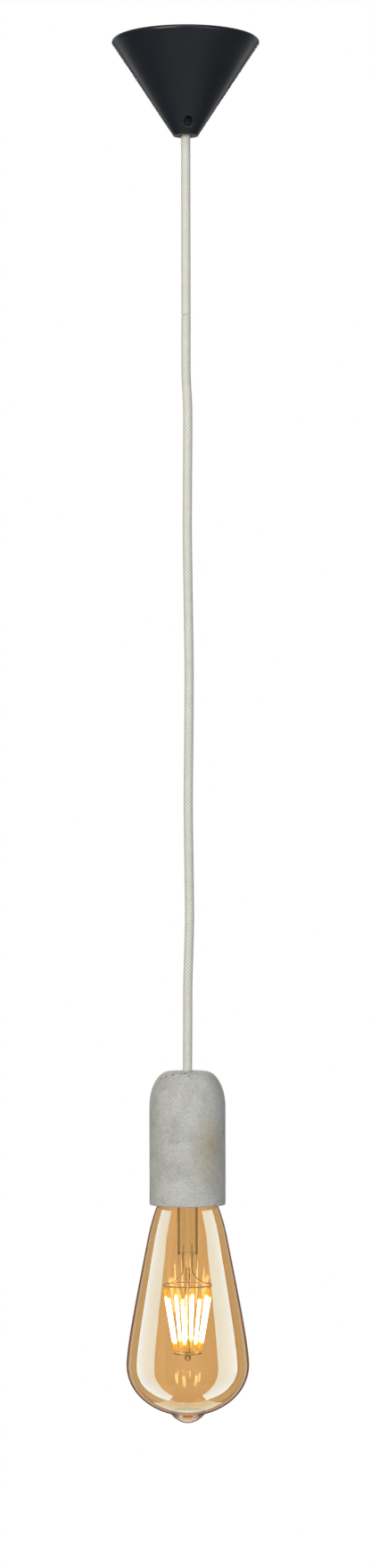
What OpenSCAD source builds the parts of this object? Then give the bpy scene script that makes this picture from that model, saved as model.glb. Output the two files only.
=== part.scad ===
// Pendant ceiling light: a conical canopy, a textile cord, a cast concrete lampholder
// cover and a pear-shaped filament bulb. Millimetres, +Z up, origin at the centre of the
// eye that hangs on the ceiling hook.

/* [Canopy] */
// Diameter at the rim, against the ceiling
canopy_d = 78; // [74:1:84]
// Height from the ceiling to the neck's end
canopy_h = 51; // [48:1:56]
// Diameter of the flat end of the neck
neck_d = 13.2; // [13:0.1:15]
// Thickness of the shell, measured level
canopy_wall = 2.4; // [1.8:0.1:2.6]
// Direction of the clamping screw, degrees right of the front
screw_turn = 6.5; // [-30:0.5:30]

/* [Cord] */
// Outer diameter of the braid
cord_d = 5; // [4.6:0.1:5.2]
// Length that hangs in view between canopy and cover
cord_drop = 493; // [493]

/* [Concrete cover] */
// Outer diameter
cover_d = 40; // [38:1:44]
// Height
cover_h = 70; // [70:1:74]
// Radius of the flat top, inside the rounded shoulder
cover_top_r = 9.3; // [7:0.1:12]
// Height of the rounded shoulder
shoulder_h = 18.75; // [14:0.25:20]

/* [Bulb] */
// Largest radius of the glass
bulb_r = 32.1; // [31:0.1:33]
// Depth of the widest circle below the cover
belly_depth = 84; // [84:1:88]
// Depth of the lower bowl, from the widest circle to its pole
bowl_depth = 26.2; // [26:0.2:29]
// Glass thickness
glass_wall = 0.7; // [0.5:0.1:0.9]
// How many LED filaments stand in the cage
filament_count = 8; // [8]

/* [Motion] */
// Height of the side-swing hinge
swing_side_z = -118; // [-118]
// Height of the fore-and-aft hinge
swing_fore_z = -150; // [-150]
// Gap that a cord tube leaves above a hinge
hinge_gap = 2.2; // [2:0.1:3]

/* [Hidden] */
$fn = 64;
tiny = 0.01;

// Heights of the main planes
ceiling_z = 12;
neck_z = ceiling_z - canopy_h;
cover_top_z = neck_z - cord_drop;
cover_z = cover_top_z - cover_h;

// Suspension eye, its clamp and the cord's upper end
eye_bore_r = 5;
eye_r = 8.5;
eye_w = 5;
clamp_w = 16;
clamp_depth = 6;
clamp_bottom = -26;
clamp_top = -9.5;
channel_r = cord_d / 2 + 0.05;
channel_top = -12;
saddle_bottom = -25;
saddle_top = -15.5;
cord_end_z = -15;
clamp_screw_x = 5.6;
clamp_screw_z = -20;

// Terminal block on its peg
pole_x = 12.5;
pole_z = [2.5, -9];
block_l = 16;
barrel_r = 3.6;
tower_r = 2.6;
tower_x = 6.2;
tube_r = 2;
terminal_y = 4.5;
peg_z = (pole_z[0] + pole_z[1]) / 2;
peg_r = 1.45;
collar_r = 2.1;
web_t = 1.6;

// Canopy section
lip_r = 1.5;
rim_in_r = 35;
lip = [canopy_d / 2 - lip_r, ceiling_z - lip_r];
lip_slant = -33.2;
cone_foot = [neck_d / 2, neck_z];
cone_head = lip + lip_r * [cos(lip_slant), sin(lip_slant)];
cone_slope = (cone_head[0] - cone_foot[0]) / (cone_head[1] - cone_foot[1]);
neck_hole_r = 3.2;
boss_r = 6;
boss_top = neck_z + 12;
screw_z = neck_z + 6.1;
screw_r = 2;
screw_tip = cord_d / 2 + 0.25;
screw_l = 5.5;
recess_r = 2.4;
recess_from = 8;

// Lampholder, in heights above the cover's lower edge
cover_bore_r = 16.5;
ledge = 48.1;
chamber_r = 11;
chamber_top = 62;
cord_hole_r = 3;
holder_r = 15.5;
holder_top = 48;
split = 30;
skirt_foot = 6.5;
shell_foot = 8.5;
shell_top = 29.1;
shell_out_r = 14.1;
core_r = 13.7;
core_foot = 34;
core_top = 40;
core_screw_x = 10;
strip_t = 0.5;
nipple_r = 5;
nipple_foot = 42.4;
nipple_l = 12;
grip_r = 8;
grip_top = 60.3;
grip_screw_h = 57.5;
flex_end = 43;

// E27 thread: pitch, and the radii of the bulb's cap; the shell's stand off by a gap
pitch = 3.629;
cap_minor = 12.05;
cap_major = 13.15;
thread_gap = 0.35;
thread_sides = 36;
rows_per_turn = 6;

// Bulb, in depths below the cover's lower edge
nub_depth = 114.2;
nub_bend = [7.5, -111.9];
stem_r = 5.4;
pinch_from = 25;
pinch_to = 33;
ring_depth = 42.2;
ring_r = 12.75;
hub_depth = 77.7;
hub_r = 6.9;
hub_plate_t = 1.6;
post_r = 1.3;
bead_r = 1.7;
bead_depth = hub_depth + hub_plate_t / 2 + bead_r + 0.1;
wire_r = 0.35;
strip_top = [12.4, 44.4];
strip_foot = [6.9, 76];
strip_r = 0.8;
pin_r = 0.3;
filament_turn = -13;
half_ring_gap = 4;

// Routes, top to bottom, as [x, y, z]
UPPER_ROUTE = [[0, 0, cord_end_z], [0, 0, -30], [0, 0, -50], [0, 0, -75], [0, 0, -100],
    [0, 0, swing_side_z + hinge_gap]];
MIDDLE_ROUTE = [[0, 0, swing_side_z], [0, 0, -133], [0, 0, swing_fore_z + hinge_gap]];
LOWER_ROUTE = [[0, 0, swing_fore_z], [0, 0, -165], [0, 0, -190], [0.4, 0, -220],
    [0.9, 0, -250], [0.8, 0, -280], [0.5, 0, -310], [0.8, 0, -340], [1.2, 0, -370],
    [1.1, 0, -400], [1.4, 0, -430], [1.2, 0, -450], [0.4, 0, -472], [0, 0, -490],
    [0, 0, -510], [0, 0, -532], [0, 0, cover_z + flex_end]];
BROWN_TOP = [[1.15, 0, -15], [1.15, 0, -14.5], [1.15, 0, -14], [1.6, -2.4, -12.9],
    [3.4, -6, -12.4], [7, -10.4, -11.4], [10.6, -12.4, -9.8], [12.3, -11.2, -9.1],
    [12.5, -9.4, -9], [12.5, -7.4, -9]];
BLUE_TOP = [[-1.15, 0, -15], [-1.15, 0, -14.5], [-1.15, 0, -14], [-1.2, -2.6, -12.7],
    [0.4, -7, -11], [4, -11.4, -7.2], [8.6, -13.8, -1.4], [11.8, -13, 1.8],
    [12.5, -11, 2.5], [12.5, -7.4, 2.5]];
BOTTOM_CORE = [[1.15, 0, 43], [1.15, 0, 42.6], [1.15, 0, 42.2], [2.2, -0.4, 41.2],
    [3.8, -0.6, 40.9], [5.2, -0.4, 40.85], [8.4, 0, 40.85]];
LEAD = [[2.2, 0, -21], [2.4, 0, -27], [2.4, 0, -33.2], [3, 0, -36.2], [5.4, 0, -39.2],
    [9, 0, -41.3], [12.4, 0, -42.2]];

// ---- Functions ----

function unit(v) = v / norm(v);

// Points of an arc round c, from angle a0 to a1, in the section plane
function arc(c, r, a0, a1, steps = 8) =
    [for (i = [0:steps]) let (a = a0 + (a1 - a0) * i / steps) c + r * [cos(a), sin(a)]];

// Points of a quarter ellipse round c with half axes h and v, from angle a0 to a1
function ellipse(c, h, v, a0, a1, steps) =
    [for (i = [0:steps]) let (a = a0 + (a1 - a0) * i / steps) c + [h * cos(a), v * sin(a)]];

// Points of a cubic curve from p0 to p3, without p3
function bezier(p0, p1, p2, p3, steps) =
    [for (i = [0:steps - 1]) let (t = i / steps, s = 1 - t)
        s * s * s * p0 + 3 * s * s * t * p1 + 3 * s * t * t * p2 + t * t * t * p3];

// A smooth curve through the points p, with so many steps between two of them
function smooth(p, steps) = concat(
    [for (i = [0:len(p) - 2], k = [0:steps - 1])
        let (t = k / steps, a = p[max(i - 1, 0)], b = p[i], c = p[i + 1],
            d = p[min(i + 2, len(p) - 1)])
        0.5 * (2 * b + t * (c - a) + t * t * (2 * a - 5 * b + 4 * c - d)
            + t * t * t * (3 * b - a - 3 * c + d))],
    [p[len(p) - 1]]);

function tangent(p, i) = unit(p[min(i + 1, len(p) - 1)] - p[max(i - 1, 0)]);

// A side direction carried along the route, so that the tube doesn't twist
function side(p, i) = let (t = tangent(p, i),
        v = i == 0 ? (abs(t[0]) < 0.9 ? [1, 0, 0] : [0, 1, 0]) : side(p, i - 1))
    unit(v - (v * t) * t);

// Depth of the E27 thread at a height and an angle: 0 in a root and 1 on a crest
function crest(z, a) = (1 + cos(360 * z / pitch - a)) / 2;

// Share of the full thread at a height between two ends, rising over one third of a turn
function run_in(z, z0, z1) = max(0, min(1, 3 * (z - z0) / pitch, 3 * (z1 - z) / pitch));

// Section of the glass as [radius, -depth], set in by a wall
function glass_side(inset) = [for (p = concat(
        bezier([13.3, 5], [16.8, -1], [19.4, -10], [20.9, -17.8], 8),
        bezier([20.9, -17.8], [26.8, -47.8], [bulb_r, 10 - belly_depth],
            [bulb_r, -belly_depth], 14))) [p[0] - inset, p[1]]];

// ---- Shared shapes ----

// A tube swept along a route
module swept(route, r, sides) {
    n = len(route);
    points = [for (i = [0:n - 1]) let (u = side(route, i), v = cross(tangent(route, i), u))
        for (k = [0:sides - 1]) let (a = 360 * k / sides)
            route[i] + r * (cos(a) * u + sin(a) * v)];
    around = [for (i = [0:n - 2], k = [0:sides - 1]) let (m = (k + 1) % sides)
        [i * sides + k, (i + 1) * sides + k, (i + 1) * sides + m, i * sides + m]];
    first = [for (k = [0:sides - 1]) k];
    last = [for (k = [sides - 1:-1:0]) (n - 1) * sides + k];
    polyhedron(points, concat([first], around, [last]));
}

// A turned body whose section is a closed loop of [radius, height, thread height], where
// the last value adds that much thread to the radius
module turned(loop) {
    n = len(loop);
    m = thread_sides;
    points = [for (p = loop, k = [0:m - 1]) let (a = 360 * k / m,
            r = p[0] + p[2] * crest(p[1], a)) [r * cos(a), r * sin(a), p[1]]];
    polyhedron(points, [for (i = [0:n - 1], k = [0:m - 1])
        let (j = (i + 1) % n, q = (k + 1) % m)
        each [[i * m + k, j * m + q, j * m + k], [i * m + k, i * m + q, j * m + q]]]);
}

// A grooved rod, as the outside of a fine thread, standing on z = 0
module grooved(r, step, length, bore = 0) {
    turns = floor(length / step);
    depth = step * 0.54;
    zigzag = [for (i = [0:turns - 1]) each [[r - depth, i * step], [r, (i + 0.5) * step]]];
    rotate_extrude()
        polygon(concat([[bore, 0]], zigzag, [[r - depth, length], [bore, length]]));
}

// A slotted screw with a round head, its head's top on z = 0 and its shank downwards
module slotted(r, head_r, head_h, length) {
    difference() {
        union() {
            translate([0, 0, -head_h]) cylinder(r = head_r, h = head_h);
            translate([0, 0, -length]) cylinder(r = r, h = length - head_h + tiny);
        }
        translate([-head_r, -head_r * 0.14, -head_h * 0.45])
            cube([2 * head_r, head_r * 0.28, head_h]);
    }
}

// A grub screw with a slot and a flat tip, its slotted end on z = 0
module grub(r, step, length) {
    difference() {
        translate([0, 0, -length]) grooved(r, step, length);
        translate([-r, -0.4, -1]) cube([2 * r, 0.8, 1 + tiny]);
    }
}

// Puts a screw's top at a distance from the axis, facing outwards
module facing_out(turn, distance, z)
    translate([0, 0, z]) rotate([0, 0, turn]) translate([0, -distance, 0])
        rotate([90, 0, 0]) children();

// ---- Hanger, inside the canopy ----

module hanger_eye() color("ivory") difference() {
    union() {
        rotate([90, 0, 0]) cylinder(r = eye_r, h = eye_w, center = true);
        translate([-4.5, -eye_w / 2, clamp_top]) cube([9, eye_w / 2 + clamp_depth, 4]);
        translate([-clamp_w / 2, 0.4, clamp_bottom])
            cube([clamp_w, clamp_depth - 0.4, clamp_top - clamp_bottom]);
        translate([eye_r - 1.5, 0, peg_z]) rotate([0, 90, 0]) {
            cylinder(r = collar_r, h = pole_x - web_t / 2 - eye_r + 1.4);
            cylinder(r = peg_r, h = pole_x + web_t / 2 - eye_r + 2.6);
        }
    }
    rotate([90, 0, 0]) cylinder(r = eye_bore_r, h = 3 * eye_w, center = true);
    translate([0, 0, clamp_bottom - 1])
        cylinder(r = channel_r, h = channel_top - clamp_bottom + 1);
    for (x = [-1, 1]) translate([x * clamp_screw_x, 0, clamp_screw_z])
        rotate([-90, 0, 0]) cylinder(r = 1.5, h = clamp_depth + 1);
}

module clamp_saddle() color("ivory") difference() {
    translate([-clamp_w / 2, -clamp_depth, saddle_bottom])
        cube([clamp_w, clamp_depth - 0.4, saddle_top - saddle_bottom]);
    translate([0, 0, saddle_bottom - 1])
        cylinder(r = channel_r, h = saddle_top - saddle_bottom + 2);
    for (x = [-1, 1]) translate([x * clamp_screw_x, 1, clamp_screw_z])
        rotate([90, 0, 0]) cylinder(r = 1.6, h = clamp_depth + 2);
}

module clamp_screws() color("gainsboro")
    for (x = [-1, 1]) translate([x * clamp_screw_x, -clamp_depth - 2.1, clamp_screw_z])
        rotate([90, 0, 0]) slotted(1.45, 2.6, 2, 12.5);

module terminal_block() color("whitesmoke") difference() {
    union() {
        for (z = pole_z) translate([pole_x, 0, z]) {
            rotate([90, 0, 0]) cylinder(r = barrel_r, h = block_l, center = true);
            for (y = [-1, 1]) translate([0, y * terminal_y, 0]) rotate([0, 90, 0])
                cylinder(r = tower_r, h = tower_x);
        }
        translate([pole_x - web_t / 2, -block_l / 2, pole_z[1]])
            cube([web_t, block_l, pole_z[0] - pole_z[1]]);
    }
    for (z = pole_z) translate([pole_x, 0, z]) {
        rotate([90, 0, 0]) cylinder(r = tube_r + 0.05, h = block_l + 1, center = true);
        for (y = [-1, 1]) translate([0, y * terminal_y, 0]) rotate([0, 90, 0])
            cylinder(r = 1.6, h = tower_x + 1);
    }
    translate([pole_x, 0, peg_z]) rotate([0, 90, 0]) cylinder(r = peg_r + 0.05, h = 4, center = true);
}

module terminal_tubes() color("goldenrod") for (z = pole_z) translate([pole_x, 0, z])
    difference() {
        rotate([90, 0, 0]) cylinder(r = tube_r, h = block_l - 1.4, center = true);
        rotate([90, 0, 0]) cylinder(r = 1.25, h = block_l, center = true);
        for (y = [-1, 1]) translate([0, y * terminal_y, 0]) rotate([0, 90, 0])
            cylinder(r = 1.3, h = 3);
    }

module terminal_screws() color("silver")
    for (z = pole_z, y = [-1, 1])
        translate([pole_x + tower_x - 0.8, y * terminal_y, z]) rotate([0, 90, 0])
            slotted(1.2, 1.5, 1.6, 4.6);

module core_brown_top() color("saddlebrown") swept(smooth(BROWN_TOP, 3), 1, 8);

module core_blue_top() color("royalblue") swept(smooth(BLUE_TOP, 3), 1, 8);

// ---- Cord: one tube between each two hinges ----

module flex_upper() color("gainsboro") swept(smooth(UPPER_ROUTE, 2), cord_d / 2, 12);

module flex_middle() color("gainsboro") swept(smooth(MIDDLE_ROUTE, 2), cord_d / 2, 12);

module flex_lower() color("gainsboro") swept(smooth(LOWER_ROUTE, 2), cord_d / 2, 12);

// ---- Canopy ----

module canopy() color("#23282d") difference() {
    union() {
        rotate_extrude($fn = 128) polygon(concat(
            [[neck_hole_r, neck_z], cone_foot],
            arc(lip, lip_r, lip_slant, 90),
            [[rim_in_r, ceiling_z],
             [rim_in_r, neck_z + (rim_in_r + canopy_wall - cone_foot[0]) / cone_slope],
             [boss_r, neck_z + (boss_r + canopy_wall - cone_foot[0]) / cone_slope],
             [boss_r, boss_top], [neck_hole_r, boss_top]]));
        facing_out(screw_turn, 4.5, screw_z) cylinder(r = 3.8, h = 4.8);
    }
    facing_out(screw_turn, 0, screw_z) cylinder(r = screw_r + 0.05, h = 14);
    facing_out(screw_turn, recess_from, screw_z) cylinder(r = recess_r, h = 6);
}

module canopy_screw() color("#2b2b2e")
    facing_out(screw_turn, screw_tip + screw_l, screw_z) grub(screw_r, 0.7, screw_l);

// ---- Lampholder, inside the concrete cover ----

module on_cover() translate([0, 0, cover_z]) children();

module cord_grip() color("ivory") on_cover() difference() {
    translate([0, 0, holder_top + 0.1]) rotate_extrude() polygon(concat(
        [[0, 0], [grip_r - 0.5, 0], [grip_r, 0.5]],
        arc([grip_r - 1.5, grip_top - holder_top - 1.6], 1.5, 0, 90),
        [[0, grip_top - holder_top - 0.1]]));
    translate([0, 0, holder_top]) cylinder(r = nipple_r + 0.1, h = 6.7);
    cylinder(r = cord_d / 2 + 0.15, h = grip_top + 1);
    facing_out(0, 0, grip_screw_h) cylinder(r = 1.55, h = grip_r + 1);
}

module grip_screw() color("white") on_cover()
    facing_out(0, grip_r - 0.4, grip_screw_h) grub(1.5, 0.5, grip_r - 0.4 - cord_d / 2 - 0.1);

module threaded_nipple() color("silver") on_cover()
    translate([0, 0, nipple_foot]) grooved(nipple_r, 1, nipple_l, 3.2);

module nipple_nut() color("silver") on_cover() translate([0, 0, 43.4]) difference() {
    cylinder(r = 8.08, h = 2, $fn = 6);
    translate([0, 0, -1]) cylinder(r = nipple_r + 0.1, h = 4, $fn = 48);
}

module lampholder_cap() color("#2a2c2e") on_cover() rotate_extrude() polygon(concat(
    [[14, split + 0.1], [holder_r, split + 0.1]],
    arc([holder_r - 2, holder_top - 2], 2, 0, 90),
    [[nipple_r + 0.1, holder_top], [nipple_r + 0.1, 45.5], [14, 45.5]]));

module lampholder_core() color("white") on_cover() difference() {
    union() {
        translate([0, 0, core_foot]) cylinder(r = core_r, h = core_top - core_foot);
        translate([0, 0, shell_top + 0.1]) cylinder(r = core_r, h = core_foot - shell_top);
    }
    translate([0, 0, shell_top]) cylinder(r = 11.2, h = core_foot - shell_top);
    for (x = [-1, 1]) translate([x * core_screw_x, 0, core_foot - 3])
        cylinder(r = 1.5, h = 12);
}

module core_screws() color("goldenrod") on_cover() for (x = [-1, 1])
    translate([x * core_screw_x, 0, 43.2]) slotted(1.4, 2.3, 1.5, 10.6);

module centre_contact() color("goldenrod") on_cover() difference() {
    translate([0, 2.5, 0]) rotate([90, 0, 0]) linear_extrude(5) polygon([
        [10.4, 33.9], [4, 33.9], [-1.4, 32.75], [-3.4, 33.3], [-3.4, 32.8], [-1.4, 32.2],
        [4, 33.35], [10.4, 33.4]]);
    translate([core_screw_x, 0, 32]) cylinder(r = 1.45, h = 4);
}

module side_contact() color("goldenrod") on_cover() difference() {
    translate([0, 2, 0]) rotate([90, 0, 0]) linear_extrude(4) polygon([
        [-10.6, 33.9], [-6.6, 33.9], [-6.6, 33.4], [-10.1, 33.4], [-10.1, 29.2],
        [-10.6, 29.2]]);
    translate([-core_screw_x, 0, 32]) cylinder(r = 1.45, h = 4);
}

shell_rows = ceil((shell_top - 1 - shell_foot) * rows_per_turn / pitch);

module screw_shell() color("gold") on_cover() {
    low = shell_foot;
    high = shell_top - strip_t;
    open_r = cap_major + thread_gap;
    turned(concat(
        [for (i = [0:shell_rows]) let (z = low + (high - low) * i / shell_rows,
                share = run_in(z, low + 1, high - 1), depth = cap_major - cap_minor)
            [open_r - share * depth, z, share * depth]],
        [[10, high, 0], [10, shell_top, 0], [shell_out_r, shell_top, 0],
         [shell_out_r, low, 0]]));
}

module lampholder_skirt() color("#2a2c2e") on_cover() rotate_extrude() polygon([
    [13.7, skirt_foot], [holder_r - 0.6, skirt_foot], [holder_r, skirt_foot + 0.6],
    [holder_r, split], [14.3, split], [14.3, shell_foot - 0.1],
    [13.7, shell_foot - 0.1]]);

module core_brown_bottom() color("saddlebrown") on_cover()
    swept(smooth(BOTTOM_CORE, 3), 0.8, 8);

module core_blue_bottom() color("royalblue") on_cover()
    swept(smooth([for (p = BOTTOM_CORE) [-p[0], p[1], p[2]]], 3), 0.8, 8);

// ---- Concrete cover ----

module concrete_cover() color("#b0afaa") on_cover() rotate_extrude($fn = 128)
    polygon(concat(
        [[cover_bore_r, 0], [cover_d / 2 - 0.7, 0], [cover_d / 2, 0.7]],
        ellipse([cover_top_r, cover_h - shoulder_h], cover_d / 2 - cover_top_r, shoulder_h,
            0, 90, 18),
        [[cord_hole_r + 0.5, cover_h], [cord_hole_r, cover_h - 0.5],
         [cord_hole_r, chamber_top], [chamber_r, chamber_top], [chamber_r, ledge],
         [cover_bore_r, ledge]]));

// ---- Bulb ----

module bulb_glass() color("#d9a441", 0.4) on_cover() rotate_extrude($fn = 128)
    polygon(concat(
        [[11, 11], [11, 8.8], [12.3, 7.3], [12.5, 5.4]],
        glass_side(0),
        ellipse([0, -belly_depth], bulb_r, bowl_depth, 0, -71.8, 12),
        bezier([9.2, -108.85], nub_bend, [3.2, -nub_depth], [0, -nub_depth], 8),
        [[0, -nub_depth]],
        ellipse([0, -belly_depth], bulb_r - glass_wall, bowl_depth - glass_wall,
            -90, 0, 16),
        [for (i = [len(glass_side(0)) - 1:-1:0]) glass_side(glass_wall)[i]],
        [[11.7, 6.6], [10.3, 8.4], [10.3, 11]]));

cap_rows = ceil(17 * rows_per_turn / pitch);

module bulb_cap() color("silver") on_cover() {
    low = 8.4;
    high = 25.4;
    turned(concat(
        [[11.5, 24.9, 0], [11.5, 8.4, 0], [12.95, 6.8, 0], [12.95, 5.6, 0],
         [13.3, 5.6, 0], [13.35, 7.6, 0]],
        [for (i = [0:cap_rows]) let (z = low + (high - low) * i / cap_rows,
                share = run_in(z, low, high - 0.6), depth = cap_major - cap_minor)
            [cap_minor, z, share * depth]],
        [[11.6, 25.9, 0], [9.4, 26.1, 0], [9.4, 25.6, 0], [11.3, 25.4, 0]]));
}

module bulb_insulator() color("#1c1c20") on_cover() rotate_extrude() polygon([
    [7, 25.2], [9.2, 24.4], [9.2, 26.2], [10.6, 26.4], [5.4, 30.3], [4.2, 30.3],
    [4.2, 29.4]]);

module bulb_contact() color("silver") on_cover() {
    translate([0, 0, 30.4]) cylinder(r = 4.8, h = 0.8);
    translate([0, 0, 31.2]) intersection() {
        translate([0, 0, -1.6]) sphere(r = 2.4);
        translate([-3, -3, -tiny]) cube(6);
    }
}

module glass_stem() color("lightcyan", 0.5) on_cover() {
    rotate_extrude() polygon(concat(
        [[10.1, 10.8], [10.1, 10]],
        bezier([9.8, 9.4], [6.4, 7.4], [stem_r, 4], [stem_r, -2], 6),
        [[stem_r, -pinch_from - 1], [stem_r - 0.9, -pinch_from - 1]],
        [for (p = bezier([stem_r - 0.9, -2], [stem_r - 0.9, 4.4], [6, 8.2], [9, 10.2], 6)) p],
        [[9.6, 10.8]]));
    translate([0, 0, -pinch_to]) linear_extrude(pinch_to - pinch_from)
        difference() {
            intersection() {
                circle(r = 5);
                square([10, 3.4], center = true);
            }
            for (x = [-2.4, 2.4]) translate([x, 0]) circle(r = 0.5, $fn = 24);
        }
}

module stem_post() color("lightcyan", 0.5) on_cover()
    translate([0, 0, -bead_depth]) {
        cylinder(r = post_r, h = bead_depth - pinch_to - 0.05);
        sphere(r = bead_r);
    }

module lead_wire(turn) color("silver") on_cover() rotate([0, 0, turn])
    swept(smooth(LEAD, 2), wire_r, 8);
module lead_wire_1() lead_wire(0);
module lead_wire_2() lead_wire(180);

module top_ring(turn) color("silver") on_cover()
    translate([0, 0, -ring_depth]) rotate([0, 0, turn + half_ring_gap / 2 - 90])
        rotate_extrude(angle = 180 - half_ring_gap) translate([ring_r, 0])
            circle(r = wire_r, $fn = 24);
module top_ring_1() top_ring(0);
module top_ring_2() top_ring(180);

module bottom_hub() color("silver") on_cover() translate([0, 0, -hub_depth]) {
    rotate_extrude() translate([hub_r, 0]) circle(r = 0.4, $fn = 24);
    for (a = [0:90:270]) rotate([0, 0, a + 12]) translate([1.5, 0, 0]) rotate([0, 90, 0])
        cylinder(r = 0.3, h = hub_r - 1.6, $fn = 24);
    difference() {
        cylinder(r = 2, h = hub_plate_t, center = true);
        cylinder(r = post_r + 0.05, h = 2 * hub_plate_t, center = true);
    }
}

// An LED filament: a coated strip between two pins, leaning inwards towards its foot
module filament(number) color("orange") on_cover()
    rotate([0, 0, filament_turn - 90 + 360 * (number - 1) / filament_count])
        translate([strip_top[0], 0, -strip_top[1]]) {
            lean = atan((strip_top[0] - strip_foot[0]) / (strip_foot[1] - strip_top[1]));
            long = norm(strip_foot - strip_top);
            rotate([0, 180 + lean, 0]) {
                cylinder(r = strip_r, h = long, $fn = 32);
                translate([0, 0, -1.8]) cylinder(r = pin_r, h = 3, $fn = 24);
                translate([0, 0, long - 1.2]) cylinder(r = pin_r, h = 2.4, $fn = 24);
            }
        }
module filament_1() filament(1);
module filament_2() filament(2);
module filament_3() filament(3);
module filament_4() filament(4);
module filament_5() filament(5);
module filament_6() filament(6);
module filament_7() filament(7);
module filament_8() filament(8);

module driver_board() color("seagreen") on_cover() {
    translate([-8.5, -0.5, 12]) cube([17, 1, 11.5]);
    translate([-3.6, 0.4, 17.6]) rotate([0, 90, 0]) translate([0, 2.4, 0])
        cylinder(r = 2.5, h = 7.2, $fn = 32);
    translate([3, -2.6, 14]) cube([4, 2.2, 4.6]);
    translate([-6.6, -2, 14.4]) cube([3, 1.6, 3]);
}

hanger_eye();
clamp_saddle();
clamp_screws();
terminal_block();
terminal_tubes();
terminal_screws();
core_brown_top();
core_blue_top();
flex_upper();
canopy();
canopy_screw();
flex_middle();
flex_lower();
cord_grip();
grip_screw();
threaded_nipple();
nipple_nut();
lampholder_cap();
lampholder_core();
core_screws();
centre_contact();
side_contact();
screw_shell();
lampholder_skirt();
core_brown_bottom();
core_blue_bottom();
concrete_cover();
bulb_contact();
bulb_glass();
bulb_cap();
bulb_insulator();
glass_stem();
stem_post();
lead_wire_1();
lead_wire_2();
top_ring_1();
top_ring_2();
bottom_hub();
filament_1();
filament_2();
filament_3();
filament_4();
filament_5();
filament_6();
filament_7();
filament_8();
driver_board();
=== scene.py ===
"""A pendant ceiling light: a conical canopy, a textile cord, a cast concrete cover round an
E27 lampholder, and an amber filament bulb. Metres, +Z up, with the origin at the centre of
the eye that hangs on the ceiling hook. The pieces follow in the order of assembly."""

import math

import bpy
import numpy as np
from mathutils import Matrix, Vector


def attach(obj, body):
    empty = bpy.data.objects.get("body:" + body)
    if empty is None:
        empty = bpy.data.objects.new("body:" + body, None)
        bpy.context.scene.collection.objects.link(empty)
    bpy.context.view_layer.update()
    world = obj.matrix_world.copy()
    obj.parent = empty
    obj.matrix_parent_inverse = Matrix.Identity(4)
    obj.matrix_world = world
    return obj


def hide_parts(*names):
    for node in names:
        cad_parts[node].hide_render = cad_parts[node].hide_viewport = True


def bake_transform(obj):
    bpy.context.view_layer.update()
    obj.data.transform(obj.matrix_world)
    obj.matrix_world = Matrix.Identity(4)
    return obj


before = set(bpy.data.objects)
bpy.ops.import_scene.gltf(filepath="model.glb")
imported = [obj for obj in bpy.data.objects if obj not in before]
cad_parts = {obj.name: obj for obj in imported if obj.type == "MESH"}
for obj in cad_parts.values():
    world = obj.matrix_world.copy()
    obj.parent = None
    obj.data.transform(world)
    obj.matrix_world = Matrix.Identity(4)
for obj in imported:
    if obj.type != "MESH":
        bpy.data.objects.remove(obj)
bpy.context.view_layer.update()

# ---- Camera ----
# A long lens 2 m in front of the lamp. Its eye is level with the cord's lower half, so it
# looks up at the canopy and slightly down at the bulb. It is rolled a tenth of a degree,
# so that the lamp leans by as much.

CAMERA_PLACE = (-0.00077, -2.045, -0.4326)
CAMERA_TILT = math.radians(91.435)
CAMERA_ROLL = math.radians(0.1)
LENS_MM = 89.3
SENSOR_MM = 36
NEAREST = 0.05
FURTHEST = 200

lens = bpy.data.cameras.new("camera")
lens.lens = LENS_MM
lens.sensor_width = SENSOR_MM
lens.clip_start = NEAREST
lens.clip_end = FURTHEST
camera = bpy.data.objects.new("camera", lens)
camera.location = CAMERA_PLACE
camera.rotation_euler = (CAMERA_TILT, CAMERA_ROLL, 0)
bpy.context.scene.collection.objects.link(camera)
bpy.context.scene.camera = camera
bpy.context.scene.view_settings.view_transform = "Standard"
bpy.context.scene.view_settings.look = "None"

# ---- Cord ----
# A round flex of 5 mm with a braid of light grey yarn, eight yarns each way, over and under.
# It runs from the clamp to the lampholder's nipple. It is made in two lengths, which meet
# 134 mm below the eye.

MM = 0.001
CORD_R = 2.5 * MM
LENGTHS_MEET_Z = -134 * MM
CORD_ROUTE = [
    (0, 0, -15), (0, 0, -60), (0, 0, -100), (0, 0, -134), (0, 0, -165), (0.8, 0, -185),
    (0.6, 0, -225), (0.5, 0, -250), (0.9, 0, -285), (1.3, 0, -320), (1.1, 0, -355),
    (0.75, 0, -391), (1, 0, -420), (1.3, 0, -450), (0.85, 0, -470), (0.35, 0, -486),
    (0.25, 0, -505), (0.1, 0, -530), (0, 0, -545), (0, 0, -559),
]
CORD_STEPS = 12
YARNS_EACH_WAY = 8
BRAID_STEP = 2.0 * MM
YARN_RISE = 0.18 * MM
YARN_ROUND = 0.94
YARN_UNDER = 0.45
END_ROUND = 0.5 * MM
END_WIDTH = 0.86
RING_STEP = 0.28 * MM
ROUND_CORD = 64


def linear(hex_colour):
    """An sRGB hex colour as linear values with full alpha."""
    parts = [int(hex_colour[i:i + 2], 16) / 255 for i in (0, 2, 4)]
    curved = [p / 12.92 if p <= 0.04045 else ((p + 0.055) / 1.055) ** 2.4 for p in parts]
    return (*curved, 1.0)


def through(points, steps):
    """Points of a smooth curve through the given ones, in metres."""
    p = np.array(points, float) * MM
    made = []
    for i in range(len(p) - 1):
        a, b, c, d = p[max(i - 1, 0)], p[i], p[i + 1], p[min(i + 2, len(p) - 1)]
        for t in np.arange(steps) / steps:
            made.append(0.5 * (2 * b + t * (c - a) + t * t * (2 * a - 5 * b + 4 * c - d)
                               + t ** 3 * (3 * b - a - 3 * c + d)))
    return np.array([*made, p[-1]])


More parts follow.
